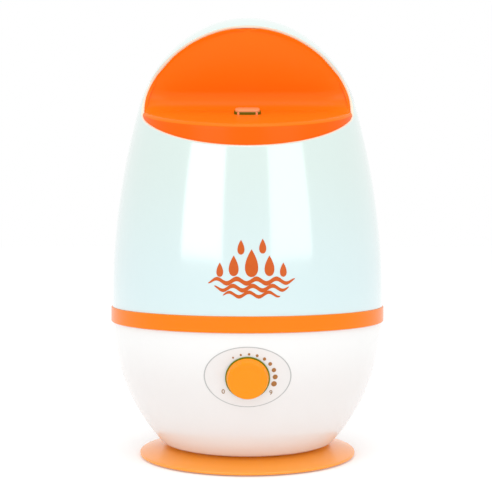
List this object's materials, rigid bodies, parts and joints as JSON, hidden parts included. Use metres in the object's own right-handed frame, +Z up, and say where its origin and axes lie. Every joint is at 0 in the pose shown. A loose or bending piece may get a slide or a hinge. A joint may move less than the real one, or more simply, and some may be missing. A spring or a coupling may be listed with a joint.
{
  "type": "cool mist humidifier",
  "caption": "Egg-shaped cool mist humidifier with a lift-off translucent tank, orange mist hood, waist band and foot, and a turning mist knob.",
  "frame": {"origin": "on the egg's vertical axis, at the surface that the rubber foot ring stands on", "axes": "+Z up along the egg's axis, -Y towards the side with the knob, +X to the right when facing the knob"},
  "size_m": [0.2304, 0.2333, 0.3689],
  "materials": {
    "orange_plastic": "smooth glossy orange injection-moulded ABS",
    "knob_plastic": "satin light orange ABS",
    "tank_plastic": "glossy pale mint translucent ABS",
    "clear_plastic": "clear moulded plastic with a faint mint tint",
    "white_plastic": "glossy warm white ABS",
    "basin_plastic": "satin off-white polypropylene",
    "grey_plastic": "matte grey moulded plastic",
    "black_plastic": "matte black moulded plastic",
    "rubber": "soft grey silicone rubber",
    "float_foam": "matte foamed plastic",
    "steel": "zinc-plated steel",
    "brass": "bright brass",
    "circuit_board": "green lacquered circuit board",
    "capacitor_sleeve": "shiny dark blue sleeve",
    "coil_tape": "yellow winding tape over copper wire",
    "aluminium": "extruded aluminium",
    "magnet": "nickel-plated ferrite"
  },
  "bodies": {
    "root": {"foot_plate": "orange_plastic", "rubber_foot_ring": "rubber", "foot_screws": "steel", "lower_housing": "white_plastic", "waist_band": "orange_plastic", "basin": "basin_plastic", "basin_screws": "steel", "water_well": "basin_plastic", "standpipe": "basin_plastic", "transducer_holder": "grey_plastic", "transducer_seal": "rubber", "transducer_disc": "brass", "transducer_screws": "steel", "float_retainer": "basin_plastic", "level_switch": "grey_plastic", "driver_board": "circuit_board", "board_screws": "steel", "board_capacitors": "capacitor_sleeve", "heat_sink": "aluminium", "power_transistor": "black_plastic", "transformer_core": "steel", "transformer_coil": "coil_tape", "transformer_strap": "steel", "transformer_screws": "steel", "fan_frame": "black_plastic", "air_duct": "basin_plastic", "fan_screws": "steel", "dial_plate": "white_plastic", "potentiometer": "grey_plastic", "pot_nut": "steel", "mains_inlet": "black_plastic", "inlet_pins": "brass"},
    "knob": {"knob": "knob_plastic", "pot_shaft": "steel"},
    "fan": {"fan_rotor": "black_plastic", "fan_shaft": "steel"},
    "float": {"float_ring": "float_foam", "float_magnet": "magnet"},
    "tank": {"tank_shell": "tank_plastic", "tank_floor": "clear_plastic", "mist_tube": "clear_plastic", "mist_hood": "orange_plastic"},
    "nozzle": {"mist_nozzle": "orange_plastic"},
    "cap": {"tank_cap": "basin_plastic", "cap_gasket": "rubber"},
    "valve": {"valve_stem": "basin_plastic", "valve_seal": "rubber", "valve_spring": "steel"}
  },
  "joints": [
    {"name": "tank_lift", "type": "slide", "parent": "root", "child": "tank", "axis": [0, 0, 1], "range_m": [0, 0.12]},
    {"name": "nozzle_turn", "type": "hinge", "parent": "tank", "child": "nozzle", "pos_m": [0, -0.042, 0.2837], "axis": [0, -0.225, 0.9744], "continuous": true},
    {"name": "cap_turn", "type": "hinge", "parent": "tank", "child": "cap", "pos_m": [0, 0.05, 0.113], "axis": [0, 0, 1], "range_deg": [0, 60]},
    {"name": "valve_slide", "type": "slide", "parent": "cap", "child": "valve", "axis": [0, 0, 1], "range_m": [-0.004, 0], "deforming": ["valve_spring"]},
    {"name": "knob_turn", "type": "hinge", "parent": "root", "child": "knob", "pos_m": [0, -0.1088, 0.0795], "axis": [0, -0.9703, -0.2421], "range_deg": [-280, 0]},
    {"name": "fan_spin", "type": "hinge", "parent": "root", "child": "fan", "pos_m": [0.05, 0, 0.06], "axis": [0, 0, 1], "continuous": true},
    {"name": "float_rise", "type": "slide", "parent": "root", "child": "float", "axis": [0, 0, 1], "range_m": [0, 0.008]}
  ],
  "couplings": [
    {"joint": "valve_slide", "follows": "tank_lift", "ratio": -0.0333}
  ]
}
